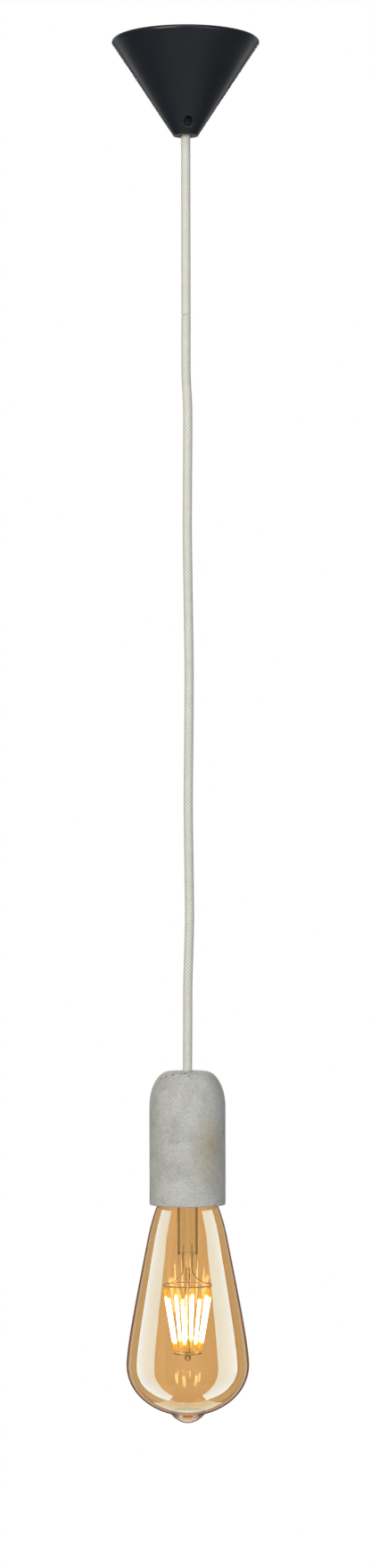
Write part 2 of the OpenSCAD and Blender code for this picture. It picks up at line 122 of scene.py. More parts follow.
def piece_of(name, points, faces, face_uvs=None):
    """A smooth mesh piece in the scene. face_uvs has one pair for each corner."""
    mesh = bpy.data.meshes.new(name)
    mesh.from_pydata([tuple(p) for p in points], [], faces)
    mesh.polygons.foreach_set("use_smooth", [True] * len(mesh.polygons))
    if face_uvs is not None:
        layer = mesh.uv_layers.new(name="yarns")
        layer.data.foreach_set("uv", np.array(face_uvs, np.float32).ravel())
    mesh.update()
    piece = bpy.data.objects.new(name, mesh)
    bpy.context.scene.collection.objects.link(piece)
    return piece


def fit(piece, material, body, node):
    """Gives a finished piece its material and body, and hides the CAD node it stands for."""
    piece.data.materials.append(material)
    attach(piece, body)
    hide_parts(node)


def feed(tree, node, inputs):
    """Sets a node's inputs, each to a value or to another node's output."""
    for name, value in inputs.items():
        if isinstance(value, bpy.types.NodeSocket):
            tree.links.new(value, node.inputs[name])
        else:
            node.inputs[name].default_value = value


def add(tree, kind, inputs=None, **settings):
    """A shader node with its settings and its inputs."""
    made = tree.nodes.new("ShaderNode" + kind)
    for name, value in settings.items():
        setattr(made, name, value)
    feed(tree, made, inputs or {})
    return made


def finish_named(name, **constants):
    """A new material with its shader's constant inputs set: returns it, its nodes and its
    shader."""
    material = bpy.data.materials.new(name)
    material.use_nodes = True
    shader = material.node_tree.nodes["Principled BSDF"]
    for key, value in constants.items():
        shader.inputs[key.replace("_", " ")].default_value = value
    return material, material.node_tree, shader


def braid(name, line):
    """A braided tube along a line of points. Each yarn is round across its width, and rises
    where it passes over another."""
    steps = np.linalg.norm(np.diff(line, axis=0), axis=1)
    along = np.concatenate([[0], np.cumsum(steps)])
    rings = int(along[-1] / RING_STEP)
    at = np.linspace(0, along[-1], rings + 1)
    centre = np.stack([np.interp(at, along, line[:, k]) for k in range(3)], 1)
    turn = 2 * np.pi * np.arange(ROUND_CORD) / ROUND_CORD
    around = YARNS_EACH_WAY * turn / (2 * np.pi)
    lengthwise = (-line[0, 2] + at)[:, None] / BRAID_STEP
    right = around[None, :] + lengthwise
    left = around[None, :] - lengthwise
    right_on_top = (np.floor(right) + np.floor(left)) % 2 == 0
    across = np.where(right_on_top, right % 1, left % 1)
    over = np.where(right_on_top, left % 1, right % 1)
    lift = YARN_UNDER + (1 - YARN_UNDER) * np.sin(np.pi * over)
    rise = np.sqrt(1 - YARN_ROUND * (2 * across - 1) ** 2) * lift
    ends = np.minimum(at, at[-1] - at)[:, None]
    rounded = np.clip(ends / END_ROUND, 0, 1) ** 0.5
    radius = (CORD_R - YARN_RISE + YARN_RISE * rise) * (END_WIDTH + (1 - END_WIDTH) * rounded)
    points = np.stack([
        centre[:, 0:1] + radius * np.cos(turn),
        centre[:, 1:2] + radius * np.sin(turn),
        np.repeat(centre[:, 2:3], ROUND_CORD, 1)], 2).reshape(-1, 3)
    faces, corners = [], []
    for i in range(rings):
        v0, v1 = lengthwise[i, 0], lengthwise[i + 1, 0]
        for k in range(ROUND_CORD):
            n = (k + 1) % ROUND_CORD
            u0 = YARNS_EACH_WAY * k / ROUND_CORD
            u1 = YARNS_EACH_WAY * (k + 1) / ROUND_CORD
            faces.append((i * ROUND_CORD + k, (i + 1) * ROUND_CORD + k,
                          (i + 1) * ROUND_CORD + n, i * ROUND_CORD + n))
            corners.extend([(u0, v0), (u0, v1), (u1, v1), (u1, v0)])
    first = tuple(range(ROUND_CORD))
    last = tuple(rings * ROUND_CORD + k for k in range(ROUND_CORD))[::-1]
    faces.extend([first, last])
    corners.extend([(0, 0)] * (2 * ROUND_CORD))
    return piece_of(name, points, faces, corners)


# Braided polyester yarn, light ivory grey. Its fine filaments give a soft sheen, and the
# valleys between the yarns are darkened by painted shade. A real yarn has dozens of
# filaments, too fine to show, so they are drawn as four bundles.
braided_yarn, tree, shader = finish_named(
    "braided_polyester_yarn", Roughness=0.62, Sheen_Weight=0.25, Sheen_Roughness=0.4,
    IOR=1.5)
place = add(tree, "UVMap", uv_map="yarns")
split = add(tree, "SeparateXYZ", {"Vector": place.outputs["UV"]})
to_right = add(tree, "Math", {0: split.outputs["X"], 1: split.outputs["Y"]})
to_left = add(tree, "Math", {0: split.outputs["X"], 1: split.outputs["Y"]},
              operation="SUBTRACT")
row_right = add(tree, "Math", {0: to_right.outputs[0]}, operation="FLOOR")
row_left = add(tree, "Math", {0: to_left.outputs[0]}, operation="FLOOR")
rows = add(tree, "Math", {0: row_right.outputs[0], 1: row_left.outputs[0]})
half = add(tree, "Math", {0: rows.outputs[0], 1: 2.0}, operation="FLOORED_MODULO")
on_top = add(tree, "Mix", {0: half.outputs[0], 2: to_right.outputs[0],
                           3: to_left.outputs[0]})
FILAMENT_BUNDLES = 4
bundle = add(tree, "Math", {0: on_top.outputs[0], 1: FILAMENT_BUNDLES}, operation="MULTIPLY")
bundle_part = add(tree, "Math", {0: bundle.outputs[0], 1: 1.0}, operation="PINGPONG")
yarn_part = add(tree, "Math", {0: on_top.outputs[0], 1: 0.5}, operation="PINGPONG")
# Painted shade: the colour darkens towards each yarn's edges, in the valleys between the
# yarns.
valley_shade = add(tree, "MapRange", {"Value": yarn_part.outputs[0], "From Min": 0.0,
                                "From Max": 0.24, "To Min": 0.0, "To Max": 1.0})
spot = add(tree, "TexCoord")
slub = add(tree, "TexNoise", {"Vector": spot.outputs["Object"], "Scale": 1 / (6 * MM),
                              "Detail": 3.0})
tone = add(tree, "Mix", {0: slub.outputs["Fac"], 6: linear("d3d2c7"), 7: linear("e4e3da")},
           data_type="RGBA")
shade = add(tree, "Mix", {0: valley_shade.outputs["Result"], 6: linear("96958a"),
                          7: tone.outputs[2]}, data_type="RGBA")
ridges = add(tree, "Bump", {"Height": bundle_part.outputs[0], "Strength": 0.35,
                            "Distance": 0.05 * MM})
feed(tree, shader, {"Base Color": shade.outputs[2], "Normal": ridges.outputs["Normal"]})

NEAR_ENOUGH = 1e-6
cord_line = through(CORD_ROUTE, CORD_STEPS)
upper_line = cord_line[cord_line[:, 2] >= LENGTHS_MEET_Z - NEAR_ENOUGH]
lower_line = cord_line[cord_line[:, 2] <= LENGTHS_MEET_Z + NEAR_ENOUGH]
cord_upper = braid("cord_upper", upper_line)
cord_lower = braid("cord_lower", lower_line)
for cord_piece in (cord_upper, cord_lower):
    cord_piece.data.materials.append(braided_yarn)
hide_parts("flex_upper", "flex_middle")
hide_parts("flex_lower")
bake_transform(cord_upper)
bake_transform(cord_lower)

# ---- Studio ----
# A plain white surround with soft lights. The lamp reflects a dimmer studio with a bright
# ring at the back, so that the glass and the black plastic have a shape. A pale floor lies
# 2.4 m below the ceiling and fades out at its edge.

# Each edge runs between two values of the direction's part along Y or, for the white
# screens, of the larger of its parts along X and Y.
SURROUND_DIM = 0.2
RING_EDGE = (0.66, 0.78)
BACK_SCREEN = 0.03
BACK_SCREEN_EDGE = (0.83, 0.89)
BETWEEN_SCREENS = 0.32
SCREEN_EDGE = (0.9, 0.985)
BULB_Z = -0.75
SIDE_BOX_HEIGHT = 2.3
FLOOR_Z = -2.388
FLOOR_R = 3.2
ROUND_FLOOR = 96

surround = bpy.data.worlds.new("surround")
bpy.context.scene.world = surround
surround.use_nodes = True
tree = surround.node_tree
tree.nodes.clear()

# Rays that a surface mirrors or scatters see the dim studio, the ring and a dark screen
# inside the ring.
direction = add(tree, "TexCoord")
split = add(tree, "SeparateXYZ", {"Vector": direction.outputs["Generated"]})
behind = add(tree, "MapRange", {
    "Value": split.outputs["Y"], "From Min": RING_EDGE[0], "From Max": RING_EDGE[1],
    "To Min": SURROUND_DIM, "To Max": 1.0}, interpolation_type="SMOOTHSTEP")
screened = add(tree, "MapRange", {
    "Value": split.outputs["Y"], "From Min": BACK_SCREEN_EDGE[0],
    "From Max": BACK_SCREEN_EDGE[1], "To Min": 1.0, "To Max": BACK_SCREEN},
    interpolation_type="SMOOTHSTEP")
mirrored = add(tree, "Math", {0: behind.outputs["Result"], 1: screened.outputs["Result"]},
               operation="MULTIPLY")

# Rays that glass bends see white screens in front, behind and at both sides, and a dimmer
# surround between them, which darkens the glass's rim as seen from those four sides.
size_x = add(tree, "Math", {0: split.outputs["X"]}, operation="ABSOLUTE")
size_y = add(tree, "Math", {0: split.outputs["Y"]}, operation="ABSOLUTE")
towards_screen = add(tree, "Math", {0: size_x.outputs[0], 1: size_y.outputs[0]},
                     operation="MAXIMUM")
through_glass = add(tree, "MapRange", {
    "Value": towards_screen.outputs[0], "From Min": SCREEN_EDGE[0],
    "From Max": SCREEN_EDGE[1], "To Min": BETWEEN_SCREENS, "To Max": 1.0},
    interpolation_type="SMOOTHSTEP")

# The camera itself sees plain white.
ray = add(tree, "LightPath")
level = add(tree, "Mix", {0: ray.outputs["Is Transmission Ray"], 2: mirrored.outputs[0],
                          3: through_glass.outputs["Result"]})
shown = add(tree, "Mix", {0: ray.outputs["Is Camera Ray"], 2: level.outputs[0], 3: 1.0})
white = add(tree, "Background", {"Color": linear("ffffff"), "Strength": shown.outputs[0]})
add(tree, "OutputWorld", {"Surface": white.outputs[0]})


def softbox(name, place, size, aim, power, tint, lit_group):
    """A rectangular soft light that faces a point and shines on one group. The camera sees
    only its reflections."""
    light = bpy.data.lights.new(name, "AREA")
    light.shape = "RECTANGLE"
    light.size, light.size_y = size
    light.energy = power
    light.color = linear(tint)[:3]
    lamp = bpy.data.objects.new(name, light)
    lamp.location = place
    lamp.rotation_mode = "QUATERNION"
    lamp.rotation_quaternion = (Vector(aim) - Vector(place)).to_track_quat("-Z", "Y")
    lamp.visible_camera = False
    lamp.visible_transmission = False
    lamp.light_linking.receiver_collection = lit_group
    bpy.context.scene.collection.objects.link(lamp)


# The side boxes, the warm box, the two cards and the low box show only in the bulb's glass.
# The fills and the overhead light shine on everything else.
glassware = bpy.data.collections.new("glassware")
all_but_glass = bpy.data.collections.new("all_but_glass")
for light_name, place, size, aim, power, tint in (
        ("softbox_left", (-0.44, -0.032, BULB_Z), (0.375, SIDE_BOX_HEIGHT),
         (0, -0.032, BULB_Z), 34, "acd9ff"),
        ("softbox_left_warm", (-0.42, -0.33, BULB_Z), (0.18, SIDE_BOX_HEIGHT),
         (0, 0, BULB_Z), 1.4, "ffe0a8"),
        ("softbox_right", (0.44, -0.088, BULB_Z), (0.396, SIDE_BOX_HEIGHT),
         (0, -0.088, BULB_Z), 39, "acd9ff"),
        ("card_left", (-0.46, 0.32, BULB_Z), (0.25, SIDE_BOX_HEIGHT), (0, 0, BULB_Z), 1.3,
         "c5ffcc"),
        ("card_right", (0.46, 0.32, BULB_Z), (0.25, SIDE_BOX_HEIGHT), (0, 0, BULB_Z), 1.3,
         "c5ffcc"),
        ("softbox_low", (0, 0.42, -1.62), (0.9, 0.75), (0, 0, -0.7), 6, "e4fff6")):
    softbox(light_name, place, size, aim, power, tint, glassware)
for light_name, place, size, aim, power, tint in (
        ("front_fill_left", (-1.1, -1.9, 0.3), (1.2, 1.2), (0, 0, -0.45), 36, "fffdf6"),
        ("front_fill_right", (1.2, -1.8, -0.4), (1.2, 1.6), (0, 0, -0.45), 16, "f3f5ff"),
        ("back_fill", (0, 2.1, 0.3), (1, 1), (0, 0, -0.45), 20, "ffffff"),
        ("overhead", (0, -1.2, 1.6), (1.6, 0.6), (0, 0, 0), 9, "ffffff")):
    softbox(light_name, place, size, aim, power, tint, all_but_glass)

floor = piece_of(
    "floor",
    [(FLOOR_R * math.cos(a), FLOOR_R * math.sin(a), FLOOR_Z)
     for a in np.linspace(0, 2 * math.pi, ROUND_FLOOR + 1)[:-1]],
    [tuple(range(ROUND_FLOOR))])

# Matt painted floor, a pale grey white, fading to nothing towards its edge.
painted_floor, tree, shader = finish_named(
    "painted_floor", Base_Color=linear("f2f1ee"), Roughness=0.8)
spot = add(tree, "TexCoord")
flat = add(tree, "VectorMath", {0: spot.outputs["Object"], 1: (1, 1, 0)},
           operation="MULTIPLY")
reach = add(tree, "VectorMath", {0: flat.outputs[0]}, operation="LENGTH")
fade = add(tree, "MapRange", {"Value": reach.outputs["Value"], "From Min": 0.5 * FLOOR_R,
                              "From Max": 0.97 * FLOOR_R, "To Min": 1.0, "To Max": 0.0},
           interpolation_type="SMOOTHSTEP")
feed(tree, shader, {"Alpha": fade.outputs["Result"]})
floor.data.materials.append(painted_floor)

# ---- Suspension eye, clamp saddle and clamp screws ----
# Nylon mouldings that hang the lamp on the ceiling hook and clamp the cord, held together
# by two zinc-plated screws.


def keep(node, material):
    """Gives a CAD node, whose shape is right, its finished material."""
    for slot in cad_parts[node].material_slots:
        slot.material = material


# Moulded nylon, off-white. It is slightly waxy, with the fine grain of a spark-cut mould.
moulded_nylon, tree, shader = finish_named(
    "moulded_nylon", IOR=1.53, Subsurface_Weight=0.12, Subsurface_Scale=0.8 * MM)
spot = add(tree, "TexCoord")
grain = add(tree, "TexNoise", {"Vector": spot.outputs["Object"], "Scale": 1 / (0.35 * MM),
                               "Detail": 2.0})
flow = add(tree, "TexNoise", {"Vector": spot.outputs["Object"], "Scale": 1 / (7 * MM),
                              "Detail": 3.0})
tone = add(tree, "Mix", {0: flow.outputs["Fac"], 6: linear("e2dfd5"), 7: linear("efede5")},
           data_type="RGBA")
gloss = add(tree, "MapRange", {"Value": grain.outputs["Fac"], "To Min": 0.38,
                               "To Max": 0.55})
ridges = add(tree, "Bump", {"Height": grain.outputs["Fac"], "Strength": 0.25,
                            "Distance": 0.03 * MM})
feed(tree, shader, {"Base Color": tone.outputs[2], "Roughness": gloss.outputs["Result"],
                    "Normal": ridges.outputs["Normal"]})

# Zinc-plated steel: a bright metal with a faint blue-yellow passivation and fine turning
# marks.
zinc_plated_steel, tree, shader = finish_named("zinc_plated_steel", Metallic=1.0)
spot = add(tree, "TexCoord")
clouds = add(tree, "TexNoise", {"Vector": spot.outputs["Object"], "Scale": 1 / (2.5 * MM),
                                "Detail": 3.0})
marks = add(tree, "TexNoise", {"Vector": spot.outputs["Object"], "Scale": 1 / (0.12 * MM),
                               "Detail": 1.0})
tone = add(tree, "Mix", {0: clouds.outputs["Fac"], 6: linear("b9bcc2"), 7: linear("d2cfc3")},
           data_type="RGBA")
gloss = add(tree, "MapRange", {"Value": marks.outputs["Fac"], "To Min": 0.2, "To Max": 0.42})
ridges = add(tree, "Bump", {"Height": marks.outputs["Fac"], "Strength": 0.15,
                            "Distance": 0.01 * MM})
feed(tree, shader, {"Base Color": tone.outputs[2], "Roughness": gloss.outputs["Result"],
                    "Normal": ridges.outputs["Normal"]})

keep("hanger_eye", moulded_nylon)
keep("clamp_saddle", moulded_nylon)
keep("clamp_screws", zinc_plated_steel)

# ---- Terminal block ----
# A two-pole connector of translucent polyamide on the eye's peg, with turned brass tubes
# and zinc-plated screws.

# Translucent polyamide: milky, and lighter where it is thin.
translucent_polyamide, tree, shader = finish_named(
    "translucent_polyamide", IOR=1.53, Subsurface_Weight=0.35, Subsurface_Scale=1.6 * MM,
    Transmission_Weight=0.25)
spot = add(tree, "TexCoord")
flow = add(tree, "TexNoise", {"Vector": spot.outputs["Object"], "Scale": 1 / (5 * MM),
                              "Detail": 3.0})
grain = add(tree, "TexNoise", {"Vector": spot.outputs["Object"], "Scale": 1 / (0.4 * MM)})
tone = add(tree, "Mix", {0: flow.outputs["Fac"], 6: linear("dfe0da"), 7: linear("eeeee9")},
           data_type="RGBA")
gloss = add(tree, "MapRange", {"Value": grain.outputs["Fac"], "To Min": 0.26,
                               "To Max": 0.42})
feed(tree, shader, {"Base Color": tone.outputs[2], "Roughness": gloss.outputs["Result"]})

# Turned and stamped brass: warm yellow, with a duller film and fine tool marks.
turned_brass, tree, shader = finish_named("turned_brass", Metallic=1.0)
spot = add(tree, "TexCoord")
film = add(tree, "TexNoise", {"Vector": spot.outputs["Object"], "Scale": 1 / (3 * MM),
                              "Detail": 4.0})
marks = add(tree, "TexNoise", {"Vector": spot.outputs["Object"], "Scale": 1 / (0.15 * MM),
                               "Detail": 1.0})
tone = add(tree, "Mix", {0: film.outputs["Fac"], 6: linear("b8924e"), 7: linear("e0bf72")},
           data_type="RGBA")
gloss = add(tree, "MapRange", {"Value": marks.outputs["Fac"], "To Min": 0.18,
                               "To Max": 0.4})
ridges = add(tree, "Bump", {"Height": marks.outputs["Fac"], "Strength": 0.15,
                            "Distance": 0.01 * MM})
feed(tree, shader, {"Base Color": tone.outputs[2], "Roughness": gloss.outputs["Result"],
                    "Normal": ridges.outputs["Normal"]})

keep("terminal_block", translucent_polyamide)
keep("terminal_tubes", turned_brass)
keep("terminal_screws", zinc_plated_steel)

# ---- Cores of the flex, at both ends ----
# Stranded copper in brown and blue PVC, from the cut-back braid to the terminals above and
# to the lampholder's contacts below. Their bare ends go into the brass tubes.

CORE_R = 1.0 * MM
LOWER_CORE_R = 0.8 * MM
ROUND_CORE = 20
CORE_STEPS = 8
BROWN_ROUTE = [
    (1.15, 0, -15), (1.15, 0, -14.5), (1.15, 0, -14), (1.6, -2.4, -12.9), (3.4, -6, -12.4),
    (7, -10.4, -11.4), (10.6, -12.4, -9.8), (12.3, -11.2, -9.1), (12.5, -9.4, -9),
    (12.5, -7.4, -9),
]
BLUE_ROUTE = [
    (-1.15, 0, -15), (-1.15, 0, -14.5), (-1.15, 0, -14), (-1.2, -2.6, -12.7),
    (0.4, -7, -11), (4, -11.4, -7.2), (8.6, -13.8, -1.4), (11.8, -13, 1.8),
    (12.5, -11, 2.5), (12.5, -7.4, 2.5),
]
LOWER_CORE_ROUTE = [
    (1.15, 0, -559), (1.15, 0, -559.4), (1.15, 0, -559.8), (2.2, -0.4, -560.8),
    (3.8, -0.6, -561.1), (5.2, -0.4, -561.15), (8.4, 0, -561.15),
]


def wire(name, line, radii, sides):
    """A round wire along a line, with one radius or one for each point."""
    line = np.array(line, float)
    radii = np.broadcast_to(np.array(radii, float), len(line))
    ahead = np.gradient(line, axis=0)
    ahead /= np.linalg.norm(ahead, axis=1)[:, None]
    side = np.array([1.0, 0, 0]) if abs(ahead[0][0]) < 0.9 else np.array([0, 1.0, 0])
    rows = []
    for p, t, radius in zip(line, ahead, radii):
        side = side - (side @ t) * t
        side /= np.linalg.norm(side)
        third = np.cross(t, side)
        for k in range(sides):
            a = 2 * math.pi * k / sides
            rows.append(p + radius * (math.cos(a) * side + math.sin(a) * third))
    faces = [(i * sides + k, (i + 1) * sides + k, (i + 1) * sides + (k + 1) % sides,
              i * sides + (k + 1) % sides)[::-1]
             for i in range(len(line) - 1) for k in range(sides)]
    faces.append(tuple(range(sides))[::-1])
    faces.append(tuple((len(line) - 1) * sides + k for k in range(sides)))
    return piece_of(name, rows, faces)


def extruded_pvc(name, dark, light):
    """PVC insulation: a smooth plastic skin over strands, whose lay shows faintly."""
    material, tree, shader = finish_named(name, IOR=1.53)
    spot = add(tree, "TexCoord")
    cloud = add(tree, "TexNoise", {"Vector": spot.outputs["Object"], "Scale": 1 / (2 * MM),
                                   "Detail": 2.0})
    tone = add(tree, "Mix", {0: cloud.outputs["Fac"], 6: linear(dark), 7: linear(light)},
               data_type="RGBA")
    gloss = add(tree, "MapRange", {"Value": cloud.outputs["Fac"], "To Min": 0.28,
                                   "To Max": 0.45})
    feed(tree, shader, {"Base Color": tone.outputs[2], "Roughness": gloss.outputs["Result"]})
    return material


brown_pvc = extruded_pvc("brown_extruded_pvc", "4a2c1c", "5f3a26")
blue_pvc = extruded_pvc("blue_extruded_pvc", "1f4c94", "3365b0")
mirrored_route = [(-x, y, z) for x, y, z in LOWER_CORE_ROUTE]
for name, route, radius, material, body, slot, node in (
        ("core_brown_at_clamp", BROWN_ROUTE, CORE_R, brown_pvc, "hanger", "brown_core",
         "core_brown_top"),
        ("core_blue_at_clamp", BLUE_ROUTE, CORE_R, blue_pvc, "hanger", "blue_core",
         "core_blue_top"),
        ("core_brown_at_holder", LOWER_CORE_ROUTE, LOWER_CORE_R, brown_pvc, "pendant",
         "brown_core", "core_brown_bottom"),
        ("core_blue_at_holder", mirrored_route, LOWER_CORE_R, blue_pvc, "pendant",
         "blue_core", "core_blue_bottom")):
    fit(wire(name, through(route, CORE_STEPS), radius, ROUND_CORE), material, body,
        node)

# ---- Canopy and its clamping screw ----
# A cone moulded in black polypropylene, with a rolled lip at the ceiling and a flat neck
# end. A blackened slotted grub screw in its neck presses on the cord.

# Satin black polypropylene, faintly blue. Its skin is smooth enough to show the studio as
# broad soft bands, with a very fine grain and slightly glossier patches.
satin_black_plastic, tree, shader = finish_named("satin_black_polypropylene", IOR=1.49)
spot = add(tree, "TexCoord")
grain = add(tree, "TexNoise", {"Vector": spot.outputs["Object"], "Scale": 1 / (0.3 * MM),
                               "Detail": 2.0})
flow = add(tree, "TexNoise", {"Vector": spot.outputs["Object"], "Scale": 1 / (18 * MM),
                              "Detail": 4.0})
tone = add(tree, "Mix", {0: flow.outputs["Fac"], 6: linear("080f17"), 7: linear("0c141e")},
           data_type="RGBA")
gloss = add(tree, "MapRange", {"Value": flow.outputs["Fac"], "From Min": 0.3,
                               "From Max": 0.7, "To Min": 0.28, "To Max": 0.38})
ridges = add(tree, "Bump", {"Height": grain.outputs["Fac"], "Strength": 0.2,
                            "Distance": 0.02 * MM})
feed(tree, shader, {"Base Color": tone.outputs[2], "Roughness": gloss.outputs["Result"],
                    "Normal": ridges.outputs["Normal"]})

# Blackened steel: dark oxide over metal, brighter where the driver has rubbed the slot.
blackened_steel, tree, shader = finish_named("blackened_steel", Metallic=0.85)
spot = add(tree, "TexCoord")
wear = add(tree, "TexNoise", {"Vector": spot.outputs["Object"], "Scale": 1 / (0.8 * MM),
                              "Detail": 3.0})
tone = add(tree, "Mix", {0: wear.outputs["Fac"], 6: linear("18181a"), 7: linear("3a3a3c")},
           data_type="RGBA")
gloss = add(tree, "MapRange", {"Value": wear.outputs["Fac"], "To Min": 0.3, "To Max": 0.5})
feed(tree, shader, {"Base Color": tone.outputs[2], "Roughness": gloss.outputs["Result"]})

keep("canopy", satin_black_plastic)
keep("canopy_screw", blackened_steel)

# ---- Cord grip, threaded nipple and nut ----
# The grip is turned nylon with a nylon grub screw. It stands on the lampholder's cap, where
# a plated nipple and its hexagon nut hold it.

keep("cord_grip", moulded_nylon)
keep("grip_screw", moulded_nylon)
keep("threaded_nipple", zinc_plated_steel)
keep("nipple_nut", zinc_plated_steel)

# ---- Lampholder ----
# A black thermoset cap and skirt, a ceramic core with its two screws and brass contacts,
# and the E27 shell of rolled brass.

COVER_Z = -602 * MM
PITCH = 3.629 * MM
CAP_MINOR = 12.05 * MM
CAP_MAJOR = 13.15 * MM
THREAD_GAP = 0.35 * MM
SHELL_FOOT = 8.5 * MM
SHELL_TOP = 29.1 * MM
SHELL_OUTER_R = 14.1 * MM
SHELL_FLANGE = 0.5 * MM
SHELL_OPEN_R = 10 * MM
THREAD_RUN = 1 * MM
ROUND_SHELL = 96
ROWS_PER_TURN = 20


def turned(name, loop, sides, thread=False):
    """A turned piece whose section is a closed loop of (radius, height, thread height), with
    heights above the cover's foot. The thread height is added where a right-handed thread
    of the E27 pitch has its crest."""
    points = []
    for radius, height, rise in loop:
        for k in range(sides):
            a = 2 * math.pi * k / sides
            z = height + COVER_Z
            crest = (1 + math.cos(2 * math.pi * height / PITCH - a)) / 2 if thread else 0
            r = radius + rise * crest
            points.append((r * math.cos(a), r * math.sin(a), z))
    n = len(loop)
    faces = [(i * sides + k, i * sides + (k + 1) % sides,
              ((i + 1) % n) * sides + (k + 1) % sides, ((i + 1) % n) * sides + k)
             for i in range(n) for k in range(sides)]
    return piece_of(name, points, faces)


def thread_share(height, low, high):
    """The share of the full thread at a height, as it runs in and out over a third turn."""
    return max(0.0, min(1.0, 3 * (height - low) / PITCH, 3 * (high - height) / PITCH))


def threaded_side(low, high, radius, run_low, run_high, at_crest=False):
    """Rows of a threaded side from low to high, for turned(). The radius is the thread's
    root, or its crest."""
    rows = math.ceil((high - low) * ROWS_PER_TURN / PITCH)
    depth = CAP_MAJOR - CAP_MINOR
    made = []
    for i in range(rows + 1):
        z = low + (high - low) * i / rows
        rise = depth * thread_share(z, run_low, run_high)
        made.append((radius - rise if at_crest else radius, z, rise))
    return made


# Moulded thermoset, black: hard, semi-matt, with a faint flow pattern.
moulded_thermoset, tree, shader = finish_named("moulded_black_thermoset", IOR=1.6)
spot = add(tree, "TexCoord")
flow = add(tree, "TexNoise", {"Vector": spot.outputs["Object"], "Scale": 1 / (4 * MM),
                              "Detail": 5.0})
tone = add(tree, "Mix", {0: flow.outputs["Fac"], 6: linear("1b1c1e"), 7: linear("2c2d30")},
           data_type="RGBA")
gloss = add(tree, "MapRange", {"Value": flow.outputs["Fac"], "To Min": 0.3, "To Max": 0.5})
feed(tree, shader, {"Base Color": tone.outputs[2], "Roughness": gloss.outputs["Result"]})

# Unglazed steatite: a warm white, dry ceramic with a fine speckle.
fired_steatite, tree, shader = finish_named("unglazed_steatite", Roughness=0.72, IOR=1.55)
spot = add(tree, "TexCoord")
speckle = add(tree, "TexNoise", {"Vector": spot.outputs["Object"], "Scale": 1 / (0.5 * MM),
                                 "Detail": 3.0})
tone = add(tree, "Mix", {0: speckle.outputs["Fac"], 6: linear("d8d3c6"),
                         7: linear("efece2")}, data_type="RGBA")
ridges = add(tree, "Bump", {"Height": speckle.outputs["Fac"], "Strength": 0.3,
                            "Distance": 0.03 * MM})
feed(tree, shader, {"Base Color": tone.outputs[2], "Normal": ridges.outputs["Normal"]})

keep("lampholder_cap", moulded_thermoset)
keep("lampholder_skirt", moulded_thermoset)
keep("lampholder_core", fired_steatite)
keep("core_screws", turned_brass)
keep("centre_contact", turned_brass)
keep("side_contact", turned_brass)

shell_high = SHELL_TOP - SHELL_FLANGE
open_r = CAP_MAJOR + THREAD_GAP
shell_section = threaded_side(SHELL_FOOT, shell_high, open_r, SHELL_FOOT + THREAD_RUN,
                              shell_high - THREAD_RUN, at_crest=True)
shell_section += [
    (SHELL_OPEN_R, shell_high, 0), (SHELL_OPEN_R, SHELL_TOP, 0),
    (SHELL_OUTER_R, SHELL_TOP, 0), (SHELL_OUTER_R, SHELL_FOOT, 0),
]
fit(turned("rolled_shell", shell_section, ROUND_SHELL, thread=True), turned_brass, "pendant",
    "screw_shell")

# ---- Concrete cover ----
# Cast in a mould with a rounded shoulder and a hole for the cord. Air pores, a few larger
# pits near the top and a faint waviness are left in its skin.

COVER_R = 20 * MM
COVER_H = 70 * MM
SHOULDER_H = 18.75 * MM
COVER_FLAT_R = 9.3 * MM
COVER_BORE_R = 16.5 * MM
COVER_LEDGE = 48.1 * MM
CHAMBER_R = 11 * MM
CHAMBER_TOP = 62 * MM
CORD_HOLE_R = 3 * MM
ROUND_COVER = 360
SKIN_STEP = 0.35 * MM
# Waves in the skin: how many round the cover, and how high each is in millimetres.
WAVES = ((3, 0.05), (7, 0.035), (13, 0.02))
WAVE_TWIST = 60
WAVE_RISE = 35
WAVES_DEEP = 0.1 * MM
# The larger pits: degrees right of the front, then height, width and depth in millimetres.
PLACED_PITS = (
    (-64, 66.5, 1.6, 0.5), (-50, 67.6, 1.3, 0.45), (-34, 68.6, 1.5, 0.5),
    (-16, 69.2, 1.3, 0.5), (-5, 69.4, 1.5, 0.55), (4, 68.1, 1.2, 0.5), (8, 66.9, 0.9, 0.4),
    (22, 68.8, 0.9, 0.35), (-75, 64.4, 1.0, 0.35), (30, 38.4, 0.9, 0.3),
    (-37, 2.1, 0.8, 0.35), (45, 0.7, 1.0, 0.4), (70, 37.6, 0.8, 0.3), (40, 31.5, 0.8, 0.25),
    (-8, 47.5, 0.7, 0.25),
)
SKIN_SEED = 7
SMALL_PITS = 300
PIT_STEEP = 0.6
PIT_FULL_SHADE = 0.35 * MM


def spaced(section, step):
    """A section's line with extra points, so that none are further apart than a step."""
    made = []
    for a, b in zip(section[:-1], section[1:]):
        n = max(1, math.ceil(math.dist(a, b) / step))
        made.extend((a[0] + (b[0] - a[0]) * i / n, a[1] + (b[1] - a[1]) * i / n)
                    for i in range(n))
    return [*made, section[-1]]


